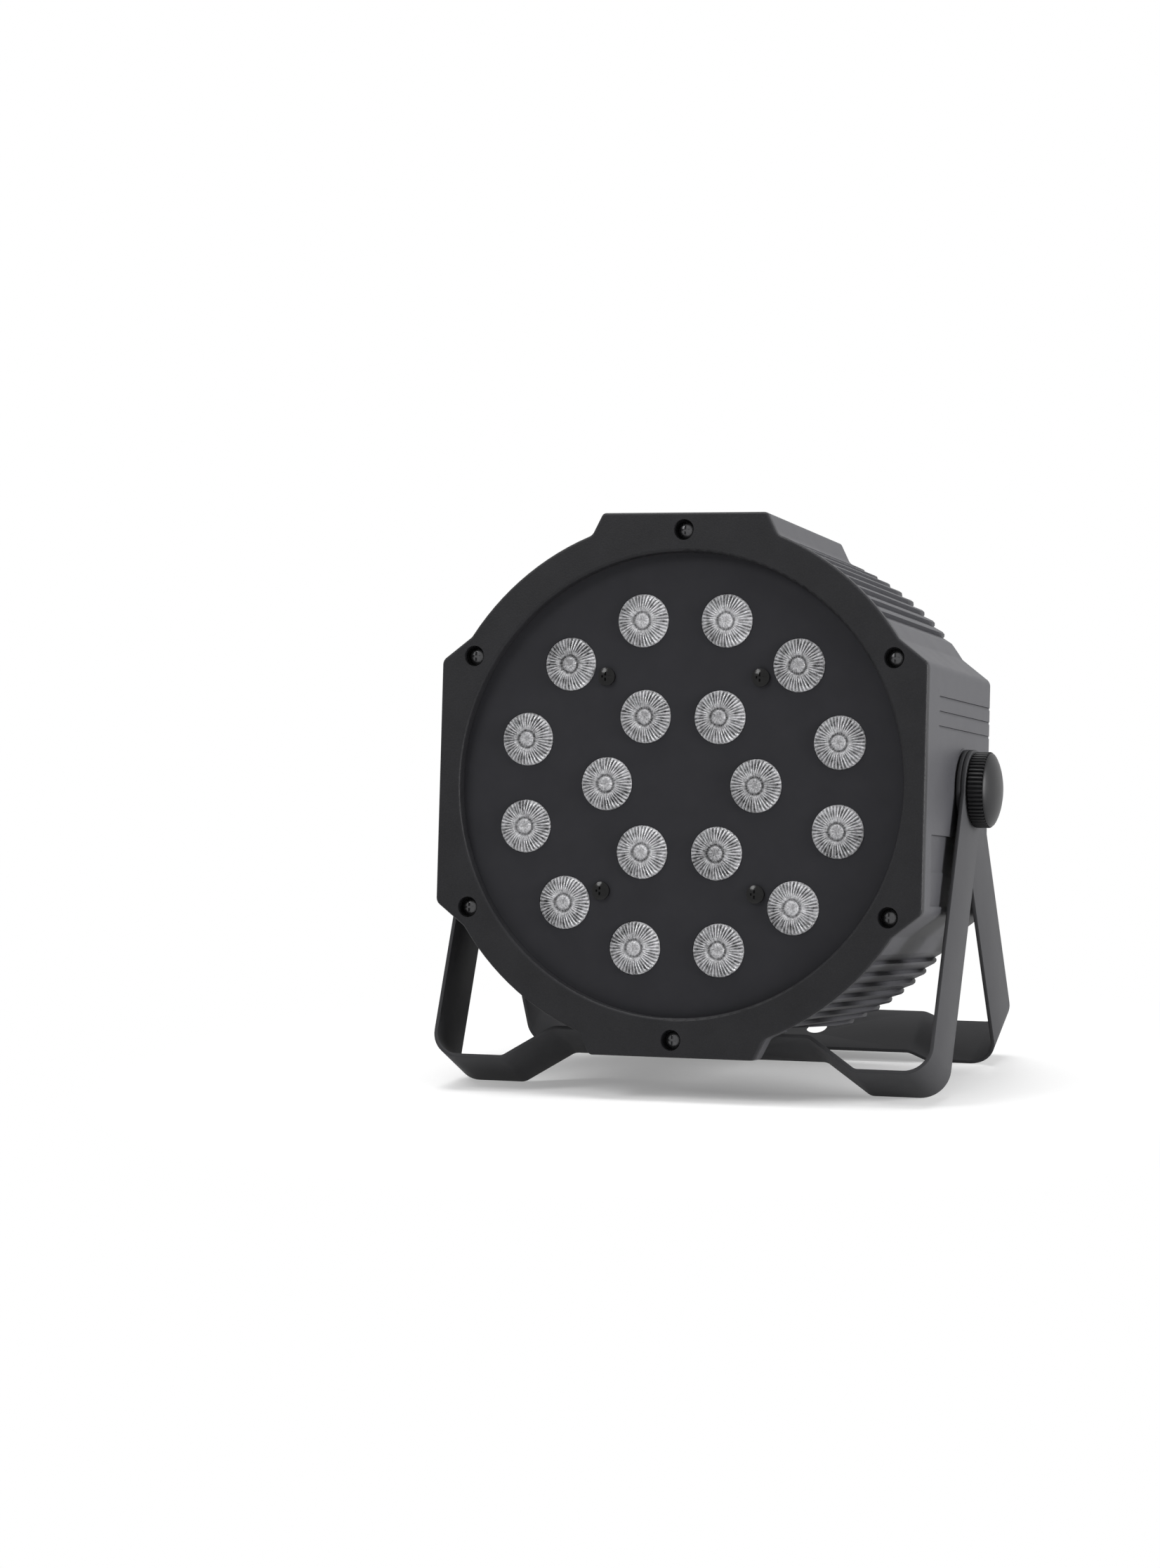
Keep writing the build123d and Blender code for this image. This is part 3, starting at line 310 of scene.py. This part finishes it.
node_finishes = {
    bezel_finish: ["front_bezel"],
    shell_finish: ["rear_shell"],
    panel_finish: ["led_panel"],
    white_finish: ["lens_holders"],
    phosphor: ["led_emitters"],
    white_board: ["led_board"],
    green_board: ["power_board", "control_board"],
    aluminium: ["heat_sink", "panel_standoffs"],
    black_steel: ["bezel_screws", "fan_screws", "socket_screws"],
    glossy_steel: ["panel_screws"],
    zinc_steel: ["heat_sink_screws", "board_screws", "left_stud", "right_stud"],
    brass_finish: ["inserts"],
    washer_finish: ["washers"],
    knob_finish: ["left_knob", "right_knob"],
    bracket_finish: ["front_bracket", "rear_bracket"],
    core_finish: ["transformer"],
    can_finish: ["capacitors"],
    window_finish: ["display_window"],
    module_finish: ["display_unit", "button_switches"],
    key_finish: ["button_menu", "button_down", "button_up", "button_enter"],
    fan_finish: ["fan_frame", "fan_rotor"],
    socket_finish: ["power_inlet", "fuse_drawer", "signal_in_socket", "signal_out_socket",
                    "signal_out_core"],
    pin_finish: ["signal_in_pins"],
    lens_painted_gleam_finish: [name for name in frame["nodes"] if name.startswith("lens_") and name[-1].isdigit()],
}
for finish, names in node_finishes.items():
    for name in names:
        mesh = frame["nodes"][name].data
        mesh.materials.clear()
        mesh.materials.append(finish)


# Making pieces
merge_distance = 0.001 * mm
flat_angle = math.radians(0.5)


def piece(name, mesh, body, nodes=()):
    """Puts a finished mesh in the scene as a piece of the lamp."""
    obj = bpy.data.objects.new(name, mesh)
    bpy.context.scene.collection.objects.link(obj)
    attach(obj, body)
    if nodes:
        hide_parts(*nodes)
    return obj


def turned(rows, count, relief=None):
    """Closed mesh turned about z from rows of (radius, height, relief share), open rows at its ends
    closed by fans. The relief gives a height at an angle, scaled by each row's share."""
    shape = bmesh.new()
    heights = shape.verts.layers.float.new("relief")
    bearings = shape.verts.layers.float_vector.new("bearing")
    rings = []
    for radius, height, share in rows:
        ring = []
        for i in range(count):
            angle = 2 * math.pi * i / count
            lift = relief(angle) * share if relief else 0
            vert = shape.verts.new((radius * math.cos(angle), radius * math.sin(angle), height + lift))
            vert[heights] = lift / rib_depth
            vert[bearings] = (math.cos(angle), math.sin(angle), radius * bearing_rate)
            ring.append(vert)
        rings.append(ring)
    for first, second in zip(rings, rings[1:]):
        for i in range(count):
            j = (i + 1) % count
            shape.faces.new((first[i], second[i], second[j], first[j]))
    for ring, height in ((rings[0], rows[0][1]), (rings[-1], rows[-1][1])):
        tip = shape.verts.new((0, 0, height))
        for i in range(count):
            shape.faces.new((ring[i], ring[(i + 1) % count], tip))
    bmesh.ops.recalc_face_normals(shape, faces=shape.faces)
    mesh = bpy.data.meshes.new("turned")
    shape.to_mesh(mesh)
    shape.free()
    return mesh


def smooth(mesh, angle=35):
    """Shades a mesh smoothly except across edges sharper than the angle."""
    for face in mesh.polygons:
        face.use_smooth = True
    mesh.set_sharp_from_angle(angle=math.radians(angle))
    return mesh


def ring_copies(mesh, finish, rings):
    """Copies of a mesh round circles about z, each turned to face outwards, as one plain mesh.
    rings holds (count, radius, angle of the first copy)."""
    group = bpy.data.node_groups.new("ring_copies", "GeometryNodeTree")
    socket = group.interface.new_socket
    socket("Geometry", in_out="INPUT", socket_type="NodeSocketGeometry")
    socket("Material", in_out="INPUT", socket_type="NodeSocketMaterial")
    fields = []
    for i in range(len(rings)):
        fields.append([socket(f"Count {i + 1}", in_out="INPUT", socket_type="NodeSocketInt"),
                       socket(f"Radius {i + 1}", in_out="INPUT", socket_type="NodeSocketFloat"),
                       socket(f"Turn {i + 1}", in_out="INPUT", socket_type="NodeSocketFloat")])
    socket("Geometry", in_out="OUTPUT", socket_type="NodeSocketGeometry")
    tree = Tree(group)
    source = group.nodes.new("NodeGroupInput")
    joined = group.nodes.new("GeometryNodeJoinGeometry")
    for i in range(len(rings)):
        count, radius, turn = (Link(tree, source.outputs[f"{label} {i + 1}"])
                               for label in ("Count", "Radius", "Turn"))
        circle = tree.node("GeometryNodeMeshCircle", None, {"Vertices": count, "Radius": radius})
        spin = tree.node("ShaderNodeCombineXYZ", None, {"Z": turn})
        turned_circle = tree.node("GeometryNodeTransform", None, {"Geometry": circle, "Rotation": spin})
        place = tree.node("GeometryNodeInputPosition")
        facing = tree.node("FunctionNodeAlignRotationToVector", {"axis": "X", "pivot_axis": "Z"},
                           {"Vector": place})
        copies = tree.node("GeometryNodeInstanceOnPoints", None, {
            "Points": turned_circle, "Instance": Link(tree, source.outputs["Geometry"]),
            "Rotation": facing})
        group.links.new(copies.socket, joined.inputs[0])
    solid = tree.node("GeometryNodeRealizeInstances", None, {"Geometry": Link(tree, joined.outputs[0])})
    dressed = tree.node("GeometryNodeSetMaterial", None, {
        "Geometry": solid, "Material": Link(tree, source.outputs["Material"])})
    tree.node("NodeGroupOutput", None, {0: dressed})

    obj = bpy.data.objects.new("ring_copies", mesh)
    bpy.context.scene.collection.objects.link(obj)
    modifier = obj.modifiers.new("copies", "NODES")
    modifier.node_group = group
    inputs = {item.name: item.identifier for item in group.interface.items_tree if item.in_out == "INPUT"}
    modifier[inputs["Material"]] = finish
    for sockets, values in zip(fields, rings):
        for item, value in zip(sockets, values):
            modifier[item.identifier] = value
    return plain_mesh(obj)


def plain_mesh(obj):
    """What an object's modifiers make of it, as a mesh; the object goes."""
    graph = bpy.context.evaluated_depsgraph_get()
    mesh = bpy.data.meshes.new_from_object(obj.evaluated_get(graph))
    bpy.data.objects.remove(obj)
    return mesh


def placed(mesh, matrix):
    """A mesh moved to its place."""
    mesh.transform(matrix)
    mesh.update()
    return mesh


def join(*meshes):
    """Several meshes as one."""
    shape = bmesh.new()
    for mesh in meshes:
        shape.from_mesh(mesh)
    whole = bpy.data.meshes.new("joined")
    shape.to_mesh(whole)
    shape.free()
    for material in meshes[0].materials:
        whole.materials.append(material)
    return whole


def softened(node, width, segments=2, edge_angle=40, shade_angle=30):
    """Copy of a CAD node whose edges sharper than an angle are broken by a small round."""
    shape = bmesh.new()
    shape.from_mesh(frame["nodes"][node].data)
    bmesh.ops.remove_doubles(shape, verts=shape.verts, dist=merge_distance)
    bmesh.ops.dissolve_limit(shape, angle_limit=flat_angle, verts=shape.verts, edges=shape.edges)
    mesh = bpy.data.meshes.new(node)
    shape.to_mesh(mesh)
    shape.free()
    obj = bpy.data.objects.new(node, mesh)
    bpy.context.scene.collection.objects.link(obj)
    bevel = obj.modifiers.new("edges", "BEVEL")
    bevel.width = width
    bevel.segments = segments
    bevel.limit_method = "ANGLE"
    bevel.angle_limit = math.radians(edge_angle)
    mesh = smooth(plain_mesh(obj), shade_angle)
    mesh.materials.clear()
    mesh.materials.append(frame["nodes"][node].data.materials[0])
    return mesh


# Lenses: a ribbed rim and cone round a ringed bead, one in each hole of the panel
lens_radius = 10.2 * mm
lens_ribs = 42
rib_steps = 6
outer_circle = 65 * mm
outer_count = 12
inner_circle = 30 * mm
inner_count = 6


def rib(angle):
    """Height of the lens's radial ribs at an angle, about their mean."""
    return rib_depth * math.cos(lens_ribs * angle)


lens_rows = [
    (0.5 * mm, 2.05 * mm, 0), (1.1 * mm, 2.20 * mm, 0), (1.7 * mm, 2.45 * mm, 0), (2.2 * mm, 2.40 * mm, 0),
    (2.7 * mm, 1.80 * mm, 0), (3.1 * mm, 1.25 * mm, 0), (3.5 * mm, 1.25 * mm, 0), (3.9 * mm, 1.80 * mm, 0),
    (4.4 * mm, 2.10 * mm, 0.1), (5.2 * mm, 2.05 * mm, 0.4), (6.4 * mm, 1.80 * mm, 0.9),
    (7.6 * mm, 1.45 * mm, 1), (8.8 * mm, 1.00 * mm, 1), (9.7 * mm, 0.55 * mm, 0.9),
    (10.05 * mm, 0.20 * mm, 0.4), (lens_radius, -0.1 * mm, 0), (lens_radius, -1.5 * mm, 0),
    (9.2 * mm, -1.5 * mm, 0), (8.2 * mm, -3.0 * mm, 0.6), (6.2 * mm, -6.4 * mm, 0.6),
    (4.2 * mm, -9.9 * mm, 0),
]
rib_edge_angle = 50
lens = smooth(turned(lens_rows, lens_ribs * rib_steps, rib), rib_edge_angle)
lenses = ring_copies(lens, lens_painted_gleam_finish, [(outer_count, outer_circle, math.pi / outer_count),
                                         (inner_count, inner_circle, 0)])
piece("lenses", placed(lenses, head), "housing", node_finishes[lens_painted_gleam_finish])


# Knobs: a knurled rim under a shallow domed cap
knob_core = 13.9 * mm
knob_reach = 14.7 * mm
knob_rim = 6.3 * mm
knob_height = 9.9 * mm
ridge_count = 54
ridge_size = 0.55 * mm
ridge_sides = 8
stud_hole = 4.05 * mm
knob_rows = [
    (stud_hole, 5.0 * mm, 0), (stud_hole, 0, 0), (13.2 * mm, 0, 0), (knob_core, 0.5 * mm, 0),
    (knob_core, knob_rim - 0.3 * mm, 0), (14.2 * mm, knob_rim, 0), (14.0 * mm, knob_rim + 0.35 * mm, 0),
    (13.4 * mm, knob_rim + 0.75 * mm, 0), (12.2 * mm, knob_rim + 1.35 * mm, 0),
    (10.4 * mm, knob_rim + 2.05 * mm, 0), (8.0 * mm, knob_rim + 2.75 * mm, 0),
    (5.2 * mm, knob_rim + 3.25 * mm, 0), (2.4 * mm, knob_rim + 3.52 * mm, 0), (0.8 * mm, knob_height, 0),
]
ridge_rows = [(0.20 * mm, 0.2 * mm, 0), (ridge_size, 0.6 * mm, 0),
              (ridge_size, knob_rim - 0.5 * mm, 0), (0.25 * mm, knob_rim - 0.1 * mm, 0)]
for hand, side in (("left", -1), ("right", 1)):
    low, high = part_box(f"{hand}_knob")
    base = Vector((low.x if side > 0 else high.x, middle(f"{hand}_knob").y, middle(f"{hand}_knob").z))
    face = plane(base, up * side, forward)
    ridges = ring_copies(smooth(turned(ridge_rows, ridge_sides)), knob_finish,
                         [(ridge_count, knob_reach - ridge_size, 0)])
    knob = smooth(turned(knob_rows, ridge_count * 2))
    knob.materials.append(knob_finish)
    piece(f"{hand}_knob_grip", placed(join(knob, ridges), face), f"{hand}_knob",
          [f"{hand}_knob"])


# Window and numerals of the display on the back
def rounded_plate(width, height, thick, corner, finish):
    """Plate on z = 0 with rounded corners and broken edges."""
    shape = bmesh.new()
    bmesh.ops.create_cube(shape, size=1, matrix=Matrix.Diagonal((width, height, thick, 1)))
    bmesh.ops.translate(shape, verts=shape.verts, vec=(0, 0, thick / 2))
    upright = [edge for edge in shape.edges
               if abs(edge.verts[0].co.z - edge.verts[1].co.z) > thick / 2]
    bmesh.ops.bevel(shape, geom=upright, offset=corner, segments=4, affect="EDGES", profile=0.5)
    rim = [edge for edge in shape.edges if len(edge.link_faces) == 2
           and abs(edge.calc_face_angle(0) - math.pi / 2) < 0.1]
    bmesh.ops.bevel(shape, geom=rim, offset=min(thick, corner) / 5, segments=2, affect="EDGES", profile=0.5)
    mesh = bpy.data.meshes.new("plate")
    shape.to_mesh(mesh)
    shape.free()
    mesh.materials.append(finish)
    return smooth(mesh)


window_width = 36 * mm
window_height = 15 * mm
window_thick = 1.2 * mm
window_corner = 0.8 * mm
numeral_count = 4
numeral_pitch = 7.6 * mm
numeral_height = 9.6 * mm
numeral_width = 5.0 * mm
segment_width = 1.0 * mm
segment_thick = 0.12 * mm
segment_gap = 0.6            # between segments, as a share of their width
numeral_slant = 0.09
rear_face = Matrix.Diagonal((-1, 1, -1, 1))
window_middle = into_head @ middle("display_window")
unit_back = min(point.z for point in head_points("display_unit"))
window_back = min(point.z for point in head_points("display_window"))
window = rounded_plate(window_width, window_height, window_thick, window_corner, window_finish)
window_place = head @ Matrix.Translation((0, window_middle.y, window_back + window_thick)) @ rear_face
piece("display_cover", placed(window, window_place), "housing", ["display_window"])

segments = []
half = numeral_height / 2
for i in range(numeral_count):
    x = numeral_pitch * (i - (numeral_count - 1) / 2)
    bars = [(0, half * level, 0) for level in (-1, 0, 1)]
    bars += [(side * numeral_width / 2, half * level / 2, 90) for side in (-1, 1) for level in (-1, 1)]
    for across, along, angle in bars:
        length = (numeral_width if angle == 0 else half) - segment_width * segment_gap
        bar = rounded_plate(length, segment_width, segment_thick, segment_width * 0.4, numeral_finish)
        slant = Matrix.Translation((x + across + along * numeral_slant, along, 0))
        segments.append(placed(bar, slant @ Matrix.Rotation(math.radians(angle), 4, "Z")))
numerals_place = head @ Matrix.Translation((0, window_middle.y, unit_back)) @ rear_face
piece("numeral_segments", placed(join(*segments), numerals_place), "housing")


# Pins of the signal inlet, and tinned blades over the cores of the power inlet's pins
signal_pin_count = 3
signal_pin_radius = 1.2 * mm
signal_pin_circle = 4.2 * mm
signal_pin_length = 12.0 * mm
pin_sides = 20
pin_rows = [(0.5 * mm, signal_pin_length, 0), (0.9 * mm, signal_pin_length - 0.15 * mm, 0),
            (signal_pin_radius, signal_pin_length - 0.5 * mm, 0), (signal_pin_radius, 0, 0)]
signal_floor = max(point.z for point in head_points("signal_in_pins"))
pin_places = [point.x for point in head_points("signal_in_pins")]
socket_heights = [point.y for point in head_points("signal_in_socket")]
signal_x = (min(pin_places) + max(pin_places)) / 2
signal_y = (min(socket_heights) + max(socket_heights)) / 2
pins = ring_copies(smooth(turned(pin_rows, pin_sides)), pin_finish,
                   [(signal_pin_count, signal_pin_circle, math.pi / 2)])
pins_place = head @ Matrix.Translation((signal_x, signal_y, signal_floor)) @ rear_face
piece("signal_pins", placed(pins, pins_place), "housing", ["signal_in_pins"])

blade_skin = 0.03 * mm
blade_width = 2 * mm
blade_height = 4 * mm
blade_length = 13 * mm
blade_corner = 0.3 * mm
blade_points = [(7 * mm, -2 * mm), (-7 * mm, -2 * mm), (0, 2 * mm)]
inlet_depth = 17 * mm
inlet_y = -60.5 * mm
inlet_back = min(point.z for point in head_points("power_inlet"))
blades = []
for x, y in blade_points:
    blade = rounded_plate(blade_width + 2 * blade_skin, blade_height + 2 * blade_skin,
                          blade_length + blade_skin, blade_corner, pin_finish)
    blades.append(placed(blade, Matrix.Translation((x, y, 0))))
blades_place = head @ Matrix.Translation((0, inlet_y, inlet_back + inlet_depth)) @ rear_face
piece("inlet_blades", placed(join(*blades), blades_place), "housing")


# Brackets with their edges broken
strip_edge = 0.25 * mm
for node in ("front_bracket", "rear_bracket"):
    piece(f"{node}_strip", softened(node, strip_edge), node, [node])


# Camera: at the photograph's angle, aimed past the lamp's middle
view_azimuth = -20.025
view_elevation = -5.461
view_roll = -1.109
view_distance = 1654.3 * mm
aim = Vector((-54.71 * mm, -13.00 * mm, 115.37 * mm))
focal_length = 96.18

camera_data = bpy.data.cameras.new("camera")
camera_data.lens = focal_length
camera_data.sensor_width = 36
camera = bpy.data.objects.new("camera", camera_data)
bpy.context.scene.collection.objects.link(camera)
azimuth = math.radians(view_azimuth)
elevation = math.radians(view_elevation)
look = Vector((math.sin(azimuth) * math.cos(elevation), math.cos(azimuth) * math.cos(elevation),
               math.sin(elevation)))
camera.rotation_euler = (look.to_track_quat("-Z", "Y").to_matrix()
                         @ Matrix.Rotation(math.radians(view_roll), 3, "Z")).to_euler()
camera.location = aim - look * view_distance
bpy.context.scene.camera = camera


# Floor, lamps and world
def shown_white(finish):
    """1 for rays that show the background itself, 0 for the rays that light the lamp."""
    path = finish.tree.nodes.new("ShaderNodeLightPath")
    seen = [Link(finish, path.outputs[name]) for name in ("Is Camera Ray", "Is Glossy Ray",
                                                           "Is Transmission Ray")]
    total = seen[0] + seen[1] + seen[2]
    return finish.node("ShaderNodeMath", {"operation": "MINIMUM"}, {0: total, 1: 1.0})


floor_half = 4.0
paper_grain = 3 * mm
shadow_start = 0.03          # from the lamp's middle outwards the floor fades to plain white
shadow_end = 0.26
shadow_light = 0.22          # share of white in the floor under the lamp
floor_finish = Finish("floor_paper")
paper = floor_finish.noise(paper_grain, 2)
across = floor_finish.node("ShaderNodeVectorMath", {"operation": "LENGTH"},
                           {0: floor_finish.place}, "Value")
fade = floor_finish.node("ShaderNodeMapRange", {"interpolation_type": "SMOOTHSTEP"},
                         {"Value": across, "From Min": shadow_start, "From Max": shadow_end,
                          "To Min": shadow_light, "To Max": 1.0})
diffuse = floor_finish.node("ShaderNodeBsdfDiffuse", None, {
    "Color": floor_finish.blend(paper, grey(0.86), grey(0.90))})
glow = floor_finish.node("ShaderNodeEmission", None, {"Color": (1, 1, 1, 1), "Strength": 1.0})
mixed = floor_finish.node("ShaderNodeMixShader", None, {
    0: shown_white(floor_finish) * fade, 1: diffuse, 2: glow})
floor_finish.node("ShaderNodeOutputMaterial", None, {"Surface": mixed})

floor_mesh = bpy.data.meshes.new("floor")
floor_mesh.from_pydata([(-floor_half, -floor_half, 0), (floor_half, -floor_half, 0),
                        (floor_half, floor_half, 0), (-floor_half, floor_half, 0)], [], [(0, 1, 2, 3)])
floor_mesh.materials.append(floor_finish.material)
floor = bpy.data.objects.new("floor", floor_mesh)
bpy.context.scene.collection.objects.link(floor)


def lamp(name, place, target, size, power):
    """A soft square lamp that faces a point."""
    data = bpy.data.lights.new(name, "AREA")
    data.size = size
    data.energy = power
    obj = bpy.data.objects.new(name, data)
    obj.location = place
    obj.rotation_euler = (Vector(target) - Vector(place)).to_track_quat("-Z", "Y").to_euler()
    bpy.context.scene.collection.objects.link(obj)


low_target = (0, 0, 0.1)
high_target = (0, 0, 0.16)
lamp("key_right", place=(1.8, -0.1, 0.30), target=low_target, size=1.0, power=66)
lamp("key_top", place=(-0.2, 0.15, 1.9), target=low_target, size=1.2, power=38)
lamp("fill_left", place=(-0.45, -0.5, 0.75), target=high_target, size=0.35, power=3.4)

bpy.context.scene.world = bpy.data.worlds.new("studio")
bpy.context.scene.world.use_nodes = True
sky = Tree(bpy.context.scene.world.node_tree)
sky.tree.nodes.clear()
ambient = 0.12               # the world's light on the lamp; where it shows it is 1, white
strength = shown_white(sky) * (1 - ambient) + ambient
sky.node("ShaderNodeOutputWorld", None, {"Surface": sky.node(
    "ShaderNodeBackground", None, {"Color": (1, 1, 1, 1), "Strength": strength})})
bpy.context.scene.view_settings.view_transform = "Standard"
